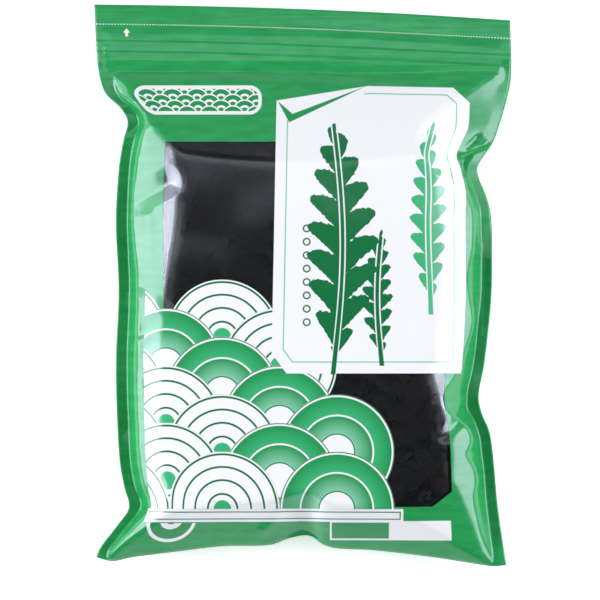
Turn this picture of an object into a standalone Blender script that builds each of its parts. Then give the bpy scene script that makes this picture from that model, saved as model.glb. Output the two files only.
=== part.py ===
"""A resealable pouch of dried cut wakame, lying on its back.

The pouch is two printed films, a front and a back, that meet along flat side fins, a
folded lower edge and a flat header. The header holds a press-to-close zip: a track with
a rib and a track with two lips. The body holds a pressed heap of crumpled flakes.

Metres, +Z up, +X to the right across the pouch, +Y towards its header. The origin is on
the surface it lies on, under the centre of its outline.
"""

import math
import random

import bmesh
import bpy
from mathutils import Vector, noise

MM = 0.001

# Driving dimensions of the filled pouch.
POUCH_LENGTH = 296.6 * MM
FILM = 0.6 * MM
FILM_GAP = 0.3 * MM
SEAM_HEIGHT = 20.0 * MM
FRONT_RISE = 25.6 * MM
FIN_WIDTH = 6.0 * MM
SHOULDER_Y = 112.0 * MM
FACET = 0.52

# The underside is flat over a small oval, and curves up a little round it.
REST_CENTRE = (0.0, -22.0 * MM)
REST_HALF = (32.0 * MM, 46.0 * MM)
REST_CURVE = 0.7 * MM

# The zip, measured across its tracks, and the share of the way from the lower edge to the
# top edge at which it runs.
ZIP_ALONG = 0.922
ZIP_WIDTH = 12.0 * MM
ZIP_END = 12.0 * MM
ZIP_ROOM = 1.35 * MM
TRACK = 0.5 * MM
RIB_WIDTH = 1.2 * MM
RIB_HEIGHT = 1.0 * MM
LIP_WIDTH = 0.6 * MM
ZIP_CLEAR = 0.3 * MM

# The heap of wakame.
HEAP_CENTRE = (0.5 * MM, -21.0 * MM)
HEAP_HALF = (82.0 * MM, 103.0 * MM)
HEAP_CORNER = 7
FLAKE = 0.9 * MM
FLAKE_COVER = 3.6 * MM
FILM_CLEAR = 1.55 * MM
FRONT_FLAKE_STEP = 17.0 * MM
BACK_FLAKE_STEP = 29.0 * MM
FLAKE_SEED = 7

# Mesh steps of the films, the same for both so that their faces run side by side: the
# columns, the rows below the shoulder, and the rows of the header as shares of the way up.
COLUMNS = 21
BODY_ROWS = 28
HEADER_ROWS = (0.879, 0.890, 0.8985, 0.922, 0.9455, 0.954, 0.963, 0.981, 1.0)

# The outline in plan, seen from the front, in millimetres. Each fin is pinched in where
# the film kinks, and the header and the lower corners flare out.
LEFT_FIN = (
    (-148, -109.6), (-140, -107.6), (-127, -97.9), (-117.5, -91.6), (-106, -94.2), (-91, -96.6),
    (-42, -98.5), (-3, -97.0), (34, -98.4), (62, -96.9), (76, -94.6), (86, -92.3), (93, -95.6),
    (101, -103.8), (109, -106.8), (120, -108.4), (148.3, -110.0),
)
RIGHT_FIN = (
    (-148, 107.6), (-117, 103.1), (-90, 100.5), (-77, 98.5), (-68, 94.7), (-58.5, 92.9),
    (-42, 95.9), (-9, 99.5), (12, 100.0), (35, 99.6), (46, 97.3), (57, 92.9), (63, 92.6),
    (75, 100.3), (84, 103.7), (98, 107.8), (110, 110.0), (140, 109.7),
)
LOWER_EDGE = (
    (-110, -143.2), (-100.5, -145.6), (-90, -143.6), (-69, -140.9), (-42, -137.7), (-17, -137.0),
    (-6, -133.2), (4, -132.2), (11, -136.8), (18, -138.8), (37, -139.8), (68, -143.4),
    (95, -147.6), (101, -148.3), (110, -147.4),
)
TOP_LEFT, TOP_MIDDLE, TOP_RIGHT = 148.3 * MM, 145.7 * MM, 139.8 * MM

# The creases between the front's nearly flat face and the facets that fall to its sides.
LEFT_CREST = (
    (-150, -74), (-112, -71), (-84, -72), (-40, -73), (8, -69), (28, -65.6), (46, -64.4),
    (58, -65), (75, -66), (90, -68), (112, -66),
)
RIGHT_CREST = (
    (-150, 84), (-116, 78), (-84, 77), (-58, 70), (-42, 66), (-10, 71), (30, 72), (50, 68),
    (62, 70), (84, 76), (112, 84),
)

# The steepness of the front film's wall along the right fin, at places up the pouch.
RIGHT_WALL = (
    (-150, 1.1), (-134, 1.3), (-122, 1.7), (-110, 2.1), (-101, 3.2), (-89, 2.0), (-80, 3.2), (-66, 1.7),
    (-20, 2.9), (42, 2.9), (60, 1.2), (78, 0.47), (112, 0.47),
)

# Dents in the front film where it kinks: (start, end, depth, half width), in millimetres.
DENTS = (
    ((-92, 86), (-74, 93), 2.6, 6.0),
    ((92, 62), (74, 69), 3.2, 6.0),
    ((93, -59), (74.4, -79), 2.4, 4.5),
    ((-92, -117), (-76, -108), 2.6, 6.0),
    ((1, -135), (-3, -119), 2.6, 8.0),
)


def through(points, at):
    """The value at a place on the smooth curve through (place, value) points, both in millimetres."""
    at = min(max(at / MM, points[0][0]), points[-1][0])
    last = len(points) - 2
    k = next((i for i in range(last) if at < points[i + 1][0]), last)
    before, start, end, after = (points[min(max(k + i, 0), last + 1)] for i in (-1, 0, 1, 2))
    span = end[0] - start[0]
    share = (at - start[0]) / span
    leave = (end[1] - before[1]) / (end[0] - before[0]) * span
    arrive = (after[1] - start[1]) / (after[0] - start[0]) * span
    a = 2 * share**3 - 3 * share**2 + 1
    b = share**3 - 2 * share**2 + share
    c = 3 * share**2 - 2 * share**3
    d = share**3 - share**2
    return (a * start[1] + b * leave + c * end[1] + d * arrive) * MM


def top_edge(x):
    """Where the header ends, on the parabola through its two corners and its middle."""
    across = x / (110 * MM)
    slope = (TOP_RIGHT - TOP_LEFT) / 2
    bow = (TOP_RIGHT + TOP_LEFT) / 2 - TOP_MIDDLE
    return TOP_MIDDLE + slope * across + bow * across**2


def eased(value, low, high):
    """0 below low, 1 above high and a smooth step between."""
    share = min(max((value - low) / (high - low), 0.0), 1.0)
    return share * share * (3 - 2 * share)


def lowest(planes, rounding):
    """The lowest of several heights, with the crease where two of them meet rounded."""
    floor = min(planes)
    return floor - rounding * math.log(sum(math.exp((floor - plane) / rounding) for plane in planes))


def zip_line(x):
    """The middle of the zip, which runs nearly along the header's top edge."""
    return through(LOWER_EDGE, x) * (1 - ZIP_ALONG) + top_edge(x) * ZIP_ALONG


def seam_height(x, y):
    """The height of the surface along which the two films meet."""
    header = max(0.0, (y - SHOULDER_Y) / (TOP_LEFT - SHOULDER_Y))
    droop = -4.0 * MM * header**2
    wave = 0.8 * MM * header * math.sin(x / (31 * MM) + 0.6)
    tilt = 0.30 + 0.12 * math.sin(y / (17 * MM))
    left = tilt * max(0.0, through(LEFT_FIN, y) + FIN_WIDTH - x)
    right = (tilt - 0.8 * eased(y, 12 * MM, 34 * MM)) * max(0.0, x - through(RIGHT_FIN, y) + FIN_WIDTH)
    return SEAM_HEIGHT + droop + wave + (left + right) * (1 - eased(header, 0, 0.2))


def inside_edges(x, y):
    """How far a place lies inside the left fin, the right fin, the folded edge and the shoulder."""
    return (
        x - through(LEFT_FIN, y) - FIN_WIDTH,
        through(RIGHT_FIN, y) - FIN_WIDTH - x,
        y - through(LOWER_EDGE, x),
        SHOULDER_Y - y,
    )


def front_rise(x, y):
    """How far the front film stands over the seam: a hip roof of walls, facets and a nearly flat face."""
    left, right, lower, upper = inside_edges(x, y)
    crown = FRONT_RISE - 18 * MM * ((x / (190 * MM)) ** 2 + ((y + 25 * MM) / (330 * MM)) ** 2)
    facets = (crown + FACET * (x - through(LEFT_CREST, y)), crown + FACET * (through(RIGHT_CREST, y) - x), crown)
    planes = (
        2.9 * left,
        through(RIGHT_WALL, y) / MM * right,
        1.0 * lower,
        21.5 * MM - 0.25 * (x - 76 * MM) + 0.30 * (y + 101 * MM),
        2.0 * MM - 0.60 * (x - 98 * MM) + 0.165 * (y + 146 * MM),
        0.85 * upper,
        2.0 * MM + 0.47 * upper,
        lowest(facets, 1.0 * MM),
    )
    return max(0.0, lowest(planes, 0.6 * MM))


def back_fall(x, y):
    """How far the back film hangs under the seam."""
    left, right, lower, upper = inside_edges(x, y)
    planes = (1.5 * left, 1.5 * right, 1.5 * lower, 0.42 * upper, 1.1 * SEAM_HEIGHT)
    return max(0.0, lowest(planes, 1.2 * MM))


def underside(x, y):
    """The lowest that the back film may lie: on the table in the middle, a little over it further out."""
    out = math.hypot((x - REST_CENTRE[0]) / REST_HALF[0], (y - REST_CENTRE[1]) / REST_HALF[1])
    return REST_CURVE * max(0.0, out - 1) ** 1.2


def dent_depth(x, y):
    """How far the kinks press the front film in."""
    depth = 0.0
    for start, end, deep, half_width in DENTS:
        a, b = Vector(start) * MM, Vector(end) * MM
        along = b - a
        share = min(max((Vector((x, y)) - a).dot(along) / along.length_squared, 0.0), 1.0)
        away = (Vector((x, y)) - a - share * along).length
        depth += deep * MM * (1 - 0.6 * share) * math.exp(-((away / (half_width * MM)) ** 2))
    return depth


def zip_bulge(x, y):
    """The room that the zip takes on each side of the seam, none in the fins."""
    inside = min(x - through(LEFT_FIN, y), through(RIGHT_FIN, y) - x)
    across = abs(y - zip_line(x))
    return ZIP_ROOM * (1 - eased(across, 7.2 * MM, 9.0 * MM)) * eased(inside, 5 * MM, 9 * MM)


def front_inside(x, y):
    """The height of the front film's inner face."""
    rise = front_rise(x, y)
    lumps = 0.5 * MM * noise.noise((x / (28 * MM), y / (28 * MM), 0.3))
    rise += (lumps - dent_depth(x, y)) * eased(rise, 0.0, 12 * MM)
    return seam_height(x, y) + FILM_GAP / 2 + max(rise, 0.0) + zip_bulge(x, y)


def back_inside(x, y):
    """The height of the back film's inner face, flat where the pouch lies on it."""
    fall = seam_height(x, y) - FILM_GAP / 2 - back_fall(x, y) - zip_bulge(x, y)
    return max(fall, underside(x, y) + FILM)


def film_place(across, along):
    """A point of the outline's inside: across from 0 at the left fin to 1, along from 0 at the lower edge to 1."""
    x = 0.0
    y = (along - 0.5) * POUCH_LENGTH
    for _ in range(4):
        left, right = through(LEFT_FIN, y), through(RIGHT_FIN, y)
        x = left + (right - left) * across
        y = through(LOWER_EDGE, x) * (1 - along) + top_edge(x) * along
    return x, y


def spaced(count):
    """Stations from 0 to 1 that lie closer together near both ends."""
    return [0.55 * i / count + 0.45 * (1 - math.cos(math.pi * i / count)) / 2 for i in range(count + 1)]


def film_rows():
    """The shares of the way up at which the films have rows: the body's, then the header's."""
    return [share * HEADER_ROWS[0] for share in spaced(BODY_ROWS)[:-1]] + list(HEADER_ROWS)


def finish_material(name, colour, roughness, alpha=1.0):
    """A Principled material of one colour."""
    material = bpy.data.materials.new(name)
    material.use_nodes = True
    shader = material.node_tree.nodes["Principled BSDF"]
    shader.inputs["Base Color"].default_value = (*colour, 1.0)
    shader.inputs["Roughness"].default_value = roughness
    shader.inputs["Metallic"].default_value = 0.0
    shader.inputs["Alpha"].default_value = alpha
    return material


def add_object(name, mesh_data, material):
    """The bmesh as a named object with its material, its normals pointing out."""
    bmesh.ops.recalc_face_normals(mesh_data, faces=mesh_data.faces)
    mesh = bpy.data.meshes.new(name)
    mesh_data.to_mesh(mesh)
    mesh_data.free()
    mesh.materials.append(material)
    made = bpy.data.objects.new(name, mesh)
    bpy.context.scene.collection.objects.link(made)
    return made


def closed_sheet(inner, outer):
    """A bmesh between two height functions over the pouch's outline, closed round its rim."""
    sheet = bmesh.new()
    skins = []
    for height in (inner, outer):
        skin = []
        for along in film_rows():
            places = [film_place(across, along) for across in spaced(COLUMNS)]
            skin.append([sheet.verts.new((x, y, height(x, y))) for x, y in places])
        skins.append(skin)
    low, high = skins
    rows = len(low) - 1
    for j in range(rows):
        for i in range(COLUMNS):
            for skin in skins:
                sheet.faces.new((skin[j][i], skin[j][i + 1], skin[j + 1][i + 1]))
                sheet.faces.new((skin[j][i], skin[j + 1][i + 1], skin[j + 1][i]))
    rim = [(0, i) for i in range(COLUMNS)] + [(j, COLUMNS) for j in range(rows)]
    rim += [(rows, i) for i in range(COLUMNS, 0, -1)] + [(j, 0) for j in range(rows, 0, -1)]
    for (j, i), (q, p) in zip(rim, rim[1:] + rim[:1]):
        sheet.faces.new((low[j][i], low[q][p], high[q][p], high[j][i]))
    return sheet


def thickened(height, outwards):
    """The outer face of a film: its inner face moved out by the film's thickness along its slope."""

    def outer(x, y):
        step = 1.0 * MM
        slope_x = (height(x + step, y) - height(x - step, y)) / (2 * step)
        slope_y = (height(x, y + step) - height(x, y - step)) / (2 * step)
        steepness = min(math.sqrt(1 + slope_x**2 + slope_y**2), 2.2)
        return height(x, y) + outwards * FILM * steepness

    return outer


def front_film():
    """The printed front film."""
    material = finish_material("printed_film", (0.06, 0.36, 0.14), 0.3, alpha=0.6)
    sheet = closed_sheet(front_inside, thickened(front_inside, 1))
    return add_object("front_film", sheet, material)


def back_film():
    """The plainer back film, which the pouch lies on."""
    material = finish_material("back_film", (0.05, 0.30, 0.12), 0.3)

    def outer(x, y):
        return max(thickened(back_inside, -1)(x, y), underside(x, y))

    return add_object("back_film", closed_sheet(back_inside, outer), material)


def swept_track(name, profile, material):
    """A zip track: a closed profile of (across, height) points carried along the zip's line."""
    stations = 30
    track = bmesh.new()
    rings = []
    for k in range(stations + 1):
        y = zip_line(0)
        start = through(LEFT_FIN, y) + ZIP_END
        end = through(RIGHT_FIN, y) - ZIP_END
        x = start + (end - start) * k / stations
        middle = zip_line(x)
        rings.append([
            track.verts.new((x, middle + across, seam_height(x, middle + across) + height))
            for across, height in profile
        ])
    count = len(profile)
    for ring, after in zip(rings, rings[1:]):
        for i in range(count):
            j = (i + 1) % count
            track.faces.new((ring[i], ring[j], after[j], after[i]))
    for end in (rings[0], rings[-1]):
        track.faces.new(end)
    bmesh.ops.triangulate(track, faces=track.faces)
    return add_object(name, track, material)


def zip_tracks():
    """The two halves of the zip, pressed together: a rib on the front track between two lips on the back one."""
    material = finish_material("zip_track", (0.75, 0.8, 0.76), 0.4, alpha=0.8)
    half = ZIP_WIDTH / 2
    outside = FILM_GAP / 2 + ZIP_ROOM - ZIP_CLEAR
    inside = outside - TRACK
    rib = RIB_WIDTH / 2
    rib_end = inside - RIB_HEIGHT
    lip = rib + ZIP_CLEAR
    lip_end = inside - ZIP_CLEAR
    front = [
        (-half, outside), (half, outside), (half, inside), (rib, inside),
        (rib, rib_end), (-rib, rib_end), (-rib, inside), (-half, inside),
    ]
    back = [
        (-half, -outside), (half, -outside), (half, -inside), (lip + LIP_WIDTH, -inside),
        (lip + LIP_WIDTH, lip_end), (lip, lip_end), (lip, -inside), (-lip, -inside),
        (-lip, lip_end), (-lip - LIP_WIDTH, lip_end), (-lip - LIP_WIDTH, -inside), (-half, -inside),
    ]
    return [swept_track("zip_rib_track", front, material), swept_track("zip_lip_track", back, material)]


def heap_reach(x, y):
    """How far out a place lies in the heap, 1 on its outline, a rectangle with rounded corners."""
    u = abs(x - HEAP_CENTRE[0]) / HEAP_HALF[0]
    v = abs(y - HEAP_CENTRE[1]) / HEAP_HALF[1]
    return (u**HEAP_CORNER + v**HEAP_CORNER) ** (1 / HEAP_CORNER)


def heap_height(x, y, side):
    """The heap's core under its flakes, above (side 1) or below (side -1) its middle."""
    reach = heap_reach(x, y)
    top, bottom = front_inside(x, y), back_inside(x, y)
    middle = (top + bottom) / 2
    cover = FLAKE_COVER if side > 0 else 0.8 * FLAKE_COVER
    room = max((top - bottom) / 2 - cover, 0.8 * MM)
    crumple = 1.3 * MM * noise.noise((x / (9 * MM), y / (9 * MM), 3.0 * side))
    return middle + side * (room + min(crumple, 0.6 * MM)) * (1 - eased(reach, 0.9, 1.04))


def in_heap(x, y, limit):
    """The place, pulled towards the middle if its reach is over a limit."""
    share = min(1.0, limit / max(heap_reach(x, y), 0.01))
    return HEAP_CENTRE[0] + (x - HEAP_CENTRE[0]) * share, HEAP_CENTRE[1] + (y - HEAP_CENTRE[1]) * share


def heap_place(radius, turn):
    """The place at a radius and a turn, where radius 1 is the heap's outline."""
    angle = 2 * math.pi * turn
    far = 2 * HEAP_HALF[1]
    return in_heap(
        HEAP_CENTRE[0] + far * math.cos(angle) * HEAP_HALF[0] / HEAP_HALF[1],
        HEAP_CENTRE[1] + far * math.sin(angle),
        radius,
    )


def heap_core():
    """The pressed core that the flakes stand out of."""
    rings, sectors = 8, 34
    core = bmesh.new()
    rim = [core.verts.new((*heap_place(1, k / sectors), 0)) for k in range(sectors)]
    for vertex in rim:
        vertex.co.z = (front_inside(*vertex.co.xy) + back_inside(*vertex.co.xy)) / 2
    for side in (1, -1):
        x, y = HEAP_CENTRE
        inner = [core.verts.new((x, y, heap_height(x, y, side)))]
        for ring in range(1, rings + 1):
            if ring == rings:
                outer = rim
            else:
                places = [heap_place(ring / rings, k / sectors) for k in range(sectors)]
                outer = [core.verts.new((x, y, heap_height(x, y, side))) for x, y in places]
            for k in range(sectors):
                after = (k + 1) % sectors
                core.faces.new([outer[k], outer[after]] + ([inner[after], inner[k]] if ring > 1 else inner))
            inner = outer
    return core


def flake(centre, side, size, draw):
    """One crumpled scrap of dried leaf, bent clear of the film over it, as a closed bmesh."""
    corners = draw.choice((5, 6, 6, 7))
    start = draw.uniform(0, 2 * math.pi)
    tilt = Vector((draw.uniform(-0.30, 0.30), draw.uniform(-0.30, 0.30)))
    curl = draw.uniform(-0.012, 0.03) / MM
    stretch = draw.uniform(0.55, 0.9)
    lift = draw.uniform(-0.3, 1.1) * MM
    ground = heap_height(*centre, side)

    def surface(dx, dy):
        x, y = in_heap(centre[0] + dx, centre[1] + dy, 0.97)
        rest = heap_height(x, y, side) * 0.6 + ground * 0.4
        away = lift + tilt.x * dx + tilt.y * dy + curl * (dx * dx + dy * dy)
        low = back_inside(x, y) + FILM_CLEAR + (FLAKE if side > 0 else 0)
        high = front_inside(x, y) - FILM_CLEAR - (FLAKE if side < 0 else 0)
        return x, y, min(max(rest + side * away, low), high)

    scrap = bmesh.new()
    outline = [(0.0, 0.0)]
    for k in range(corners):
        angle = start + 2 * math.pi * (k + draw.uniform(-0.3, 0.3)) / corners
        reach = size * draw.uniform(0.7, 1.15)
        outline.append((reach * math.cos(angle), reach * stretch * math.sin(angle)))
    outer = [scrap.verts.new(surface(dx, dy)) for dx, dy in outline]
    inner = [scrap.verts.new(vertex.co - Vector((0, 0, side * FLAKE))) for vertex in outer]
    for k in range(1, corners + 1):
        after = k % corners + 1
        scrap.faces.new((outer[0], outer[k], outer[after]))
        scrap.faces.new((inner[0], inner[after], inner[k]))
        scrap.faces.new((outer[k], inner[k], inner[after]))
        scrap.faces.new((outer[k], inner[after], outer[after]))
    return scrap


def flake_centres(step, draw):
    """Places over the heap on a jittered grid, inside its outline."""
    columns = int(2 * HEAP_HALF[0] / step)
    rows = int(2 * HEAP_HALF[1] / step)
    for j in range(rows + 1):
        for i in range(columns + 1):
            u = (i + 0.5 * (j % 2) + draw.uniform(-0.22, 0.22)) / columns * 2 - 1
            v = (j + draw.uniform(-0.22, 0.22)) / rows * 2 - 1
            x, y = HEAP_CENTRE[0] + u * HEAP_HALF[0], HEAP_CENTRE[1] + v * HEAP_HALF[1]
            if heap_reach(x, y) < 0.95:
                yield x, y


def keep_outer_skin(solid):
    """Leave only the largest connected skin of a solid, which fills the pockets closed off inside it."""
    data = bmesh.new()
    data.from_mesh(solid.data)
    left = set(data.verts)
    skins = []
    while left:
        front = [left.pop()]
        skin = list(front)
        while front:
            vertex = front.pop()
            linked = {edge.other_vert(vertex) for edge in vertex.link_edges} & left
            left -= linked
            front += linked
            skin += linked
        skins.append(skin)
    skins.sort(key=len)
    for skin in skins[:-1]:
        bmesh.ops.delete(data, geom=skin, context="VERTS")
    data.to_mesh(solid.data)
    data.free()


def wakame_heap():
    """The contents: a core with flakes fused to it on both faces, in one solid."""
    material = finish_material("wakame", (0.018, 0.022, 0.016), 0.55)
    heap = add_object("wakame_heap", heap_core(), material)
    draw = random.Random(FLAKE_SEED)
    flakes = bpy.data.collections.new("flakes")
    for side, step in ((1, FRONT_FLAKE_STEP), (-1, BACK_FLAKE_STEP)):
        for centre in flake_centres(step, draw):
            scrap = flake(centre, side, step * draw.uniform(0.52, 0.76), draw)
            piece = add_object("flake", scrap, material)
            bpy.context.scene.collection.objects.unlink(piece)
            flakes.objects.link(piece)
    bpy.context.scene.collection.children.link(flakes)
    union = heap.modifiers.new("flakes", "BOOLEAN")
    union.operand_type = "COLLECTION"
    union.collection = flakes
    union.operation = "UNION"
    union.solver = "MANIFOLD"
    bpy.context.view_layer.objects.active = heap
    bpy.ops.object.modifier_apply(modifier=union.name)
    for piece in list(flakes.objects):
        bpy.data.objects.remove(piece)
    bpy.data.collections.remove(flakes)
    keep_outer_skin(heap)
    return heap


def main():
    for obj in list(bpy.data.objects):
        bpy.data.objects.remove(obj)
    front_film()
    back_film()
    zip_tracks()
    wakame_heap()


main()
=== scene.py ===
# %% [markdown]
# # A pouch of dried cut wakame
#
# A resealable pouch lies on its back. Two printed films are welded along the sides and the
# top, the lower edge is a fold, and a zip runs through the flat header. A clear window shows
# the dark, crumpled flakes inside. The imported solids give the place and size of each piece,
# and this lesson dresses them: finer films with creases, a printed design, and the flakes.

import math

import bmesh
import bpy
import numpy as np
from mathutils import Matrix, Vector, noise


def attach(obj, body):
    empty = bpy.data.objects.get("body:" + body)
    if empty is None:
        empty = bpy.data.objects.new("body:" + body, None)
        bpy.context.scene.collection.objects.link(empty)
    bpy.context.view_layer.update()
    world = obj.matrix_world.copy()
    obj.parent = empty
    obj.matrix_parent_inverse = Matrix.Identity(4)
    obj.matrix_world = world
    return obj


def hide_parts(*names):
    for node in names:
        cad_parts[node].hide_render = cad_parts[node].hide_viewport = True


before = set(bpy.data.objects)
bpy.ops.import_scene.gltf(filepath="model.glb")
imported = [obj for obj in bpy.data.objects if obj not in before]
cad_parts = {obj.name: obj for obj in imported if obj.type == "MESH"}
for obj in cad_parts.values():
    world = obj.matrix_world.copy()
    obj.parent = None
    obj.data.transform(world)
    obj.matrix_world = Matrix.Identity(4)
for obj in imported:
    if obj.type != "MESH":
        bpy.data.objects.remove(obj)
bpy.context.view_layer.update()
MM = 0.001
print("nodes:", sorted(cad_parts))

# %% [markdown]
# ## The outline of the pouch
#
# Seen from the front, the fins are pinched in where the film kinks, and the header and the
# lower corners flare out. A few points a side are enough: a smooth curve through them gives
# the rest. Each point is (place, value) in millimetres.

# %% Edges of the pouch
LEFT_FIN = (
    (-148, -109.6), (-140, -107.6), (-127, -97.9), (-117.5, -91.6), (-106, -94.2), (-91, -96.6),
    (-42, -98.5), (-3, -97.0), (34, -98.4), (62, -96.9), (76, -94.6), (86, -92.3), (93, -95.6),
    (101, -103.8), (109, -106.8), (120, -108.4), (148.3, -110.0),
)
RIGHT_FIN = (
    (-148, 107.6), (-117, 103.1), (-90, 100.5), (-77, 98.5), (-68, 94.7), (-58.5, 92.9),
    (-42, 95.9), (-9, 99.5), (12, 100.0), (35, 99.6), (46, 97.3), (57, 92.9), (63, 92.6),
    (75, 100.3), (84, 103.7), (98, 107.8), (110, 110.0), (140, 109.7),
)
LOWER_EDGE = (
    (-110, -143.2), (-100.5, -145.6), (-90, -143.6), (-69, -140.9), (-42, -137.7), (-17, -137.0),
    (-6, -133.2), (4, -132.2), (11, -136.8), (18, -138.8), (37, -139.8), (68, -143.4),
    (95, -147.6), (101, -148.3), (110, -147.4),
)
TOP_LEFT, TOP_MIDDLE, TOP_RIGHT = 148.3 * MM, 145.7 * MM, 139.8 * MM
TOP_TILT = (TOP_RIGHT - TOP_LEFT) / 2
TOP_BOW = (TOP_RIGHT + TOP_LEFT) / 2 - TOP_MIDDLE
POUCH_LENGTH = 296.6 * MM
POUCH_HALF = 110.0 * MM


def through(points, at):
    """The values at some places on the smooth curve through (place, value) points."""
    place, value = np.array(points).T * MM
    at = np.clip(at, place[0], place[-1])
    before = np.r_[0, np.arange(len(place) - 1)]
    after = np.r_[np.arange(1, len(place)), len(place) - 1]
    slope = (value[after] - value[before]) / (place[after] - place[before])
    k = np.clip(np.searchsorted(place, at) - 1, 0, len(place) - 2)
    span = place[k + 1] - place[k]
    share = (at - place[k]) / span
    a = 2 * share**3 - 3 * share**2 + 1
    b = share**3 - 2 * share**2 + share
    c = 3 * share**2 - 2 * share**3
    d = share**3 - share**2
    return a * value[k] + b * slope[k] * span + c * value[k + 1] + d * slope[k + 1] * span


def top_edge(x):
    """Where the header ends, on the parabola through its two corners and its middle."""
    across = x / POUCH_HALF
    return TOP_MIDDLE + TOP_TILT * across + TOP_BOW * across**2


def eased(value, low, high):
    """0 below low, 1 above high and a smooth step between."""
    share = np.clip((value - low) / (high - low), 0, 1)
    return share * share * (3 - 2 * share)


print("header is", round((TOP_LEFT - TOP_RIGHT) / MM, 1), "mm lower on the right")

# %% [markdown]
# ## The shape of the two films
#
# Where the films are welded they share one surface, the seam, 20 mm above the table. The
# header droops a little past the filling, and the fins tilt up or down along the sides.

# %% Seam
SEAM_HEIGHT = 20.0 * MM
HEADER_DROOP = 4.0 * MM
HEADER_WAVE = 0.8 * MM
FIN_WIDTH = 6.0 * MM
FIN_TILT = 0.22
FIN_TILT_CHANGE = 0.09
RIGHT_FIN_DROP = 0.58
SHOULDER_Y = 112.0 * MM
ZIP_ALONG = 0.922
ZIP_ROOM = 1.35 * MM


def zip_line(x):
    """The middle of the zip."""
    return through(LOWER_EDGE, x) * (1 - ZIP_ALONG) + top_edge(x) * ZIP_ALONG


def seam_height(x, y):
    """The height of the surface along which the two films meet."""
    header = np.maximum(0, (y - SHOULDER_Y) / (TOP_LEFT - SHOULDER_Y))
    droop = -HEADER_DROOP * header**2
    wave = HEADER_WAVE * header * np.sin(x / (31 * MM) + 0.6)
    tilt = FIN_TILT + FIN_TILT_CHANGE * np.sin(y / (17 * MM))
    left = tilt * np.maximum(0, through(LEFT_FIN, y) + FIN_WIDTH - x)
    right_tilt = tilt - RIGHT_FIN_DROP * eased(y, 12 * MM, 34 * MM)
    right = right_tilt * np.maximum(0, x - through(RIGHT_FIN, y) + FIN_WIDTH)
    return SEAM_HEIGHT + droop + wave + (left + right) * (1 - eased(header, 0, 0.2))


def zip_bulge(x, y):
    """The room that the zip takes on each side of the seam, none in the fins."""
    inside = np.minimum(x - through(LEFT_FIN, y), through(RIGHT_FIN, y) - x)
    across = np.abs(y - zip_line(x))
    return ZIP_ROOM * (1 - eased(across, 7.2 * MM, 12.5 * MM)) * eased(inside, 3 * MM, 9 * MM)


print("the seam is", SEAM_HEIGHT / MM, "mm over the table")

# %% [markdown]
# ### Facets of the filled body
#
# Inside the fins the front film climbs to a nearly flat face, and the back film falls to the
# table. Film bends one way at a time, so a filled pouch is a hip roof and not a pillow: a
# steep wall and a gentler facet on each side, one slope under the header, one at the fold,
# and two small facets across the lower right corner. The film lies on the lowest of these
# planes, and the creases where two planes meet are a little rounded. The slopes decide what
# each facet mirrors: at 0.5 to 0.75 a side facet shows the lamp beside the table.

# %% Facets
FRONT_RISE = 25.6 * MM
FILM = 0.15 * MM
FACET = 0.52
LEFT_WALL = 2.9
LOWER_SLOPE = 1.0
UPPER_SLOPES = ((0.0, 0.85), (2.0, 0.47))
LEFT_CREST = (
    (-150, -74), (-112, -71), (-84, -72), (-40, -73), (8, -69), (28, -65.6), (46, -64.4),
    (58, -65), (75, -66), (90, -68), (112, -66),
)
RIGHT_CREST = (
    (-150, 84), (-116, 78), (-84, 77), (-58, 70), (-42, 66), (-10, 71), (30, 72), (50, 68),
    (62, 70), (84, 76), (112, 84),
)
RIGHT_WALL = (
    (-150, 1.1), (-134, 1.3), (-122, 1.7), (-110, 2.1), (-101, 3.2), (-89, 2.0), (-80, 3.2), (-66, 1.7),
    (-46, 1.8), (-33, 2.4), (-20, 3.8), (-8, 2.4), (6, 2.0), (22, 2.9), (42, 2.9), (60, 1.2), (78, 0.47),
    (112, 0.47),
)
CORNER_FACETS = ((21.5, (76, -101), 0.25, 0.30), (2.0, (98, -146), 0.60, 0.165))
CREST_ROUNDING = 1.0 * MM
WALL_ROUNDING = 0.4 * MM
BACK_WALL = 1.5
BACK_UPPER = 0.42
BACK_ROUNDING = 1.2 * MM
REST_CENTRE = (0.0, -22.0 * MM)
REST_HALF = (32.0 * MM, 46.0 * MM)
REST_CURVE = 0.7 * MM


def lowest(planes, rounding):
    """The lowest of several heights, with the creases between them rounded."""
    floor = np.minimum.reduce(planes)
    return floor - rounding * np.log(sum(np.exp((floor - plane) / rounding) for plane in planes))


def from_edges(x, y):
    """How far a place lies inside the left fin, the right fin, the lower edge and the shoulder."""
    left = x - through(LEFT_FIN, y) - FIN_WIDTH
    right = through(RIGHT_FIN, y) - FIN_WIDTH - x
    return left, right, y - through(LOWER_EDGE, x), SHOULDER_Y - y


def crown_facets(x, y):
    """The nearly flat face and the gentle facets on its left and right."""
    crown = FRONT_RISE - 18 * MM * ((x / (190 * MM)) ** 2 + ((y + 25 * MM) / (330 * MM)) ** 2)
    left = crown + FACET * (x - through(LEFT_CREST, y))
    right = crown + FACET * (through(RIGHT_CREST, y) - x)
    return left, right, crown


def corner_facets(x, y):
    """The planes across the lower right corner."""
    return [
        height * MM - fall * (x - place[0] * MM) + climb * (y - place[1] * MM)
        for height, place, fall, climb in CORNER_FACETS
    ]


def front_rise(x, y):
    """How far the front film stands over the seam."""
    left, right, lower, upper = from_edges(x, y)
    planes = (
        LEFT_WALL * left,
        through(RIGHT_WALL, y) / MM * right,
        LOWER_SLOPE * lower,
        *corner_facets(x, y),
        *(start * MM + slope * upper for start, slope in UPPER_SLOPES),
        lowest(crown_facets(x, y), CREST_ROUNDING),
    )
    return np.maximum(0, lowest(planes, WALL_ROUNDING))


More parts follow.
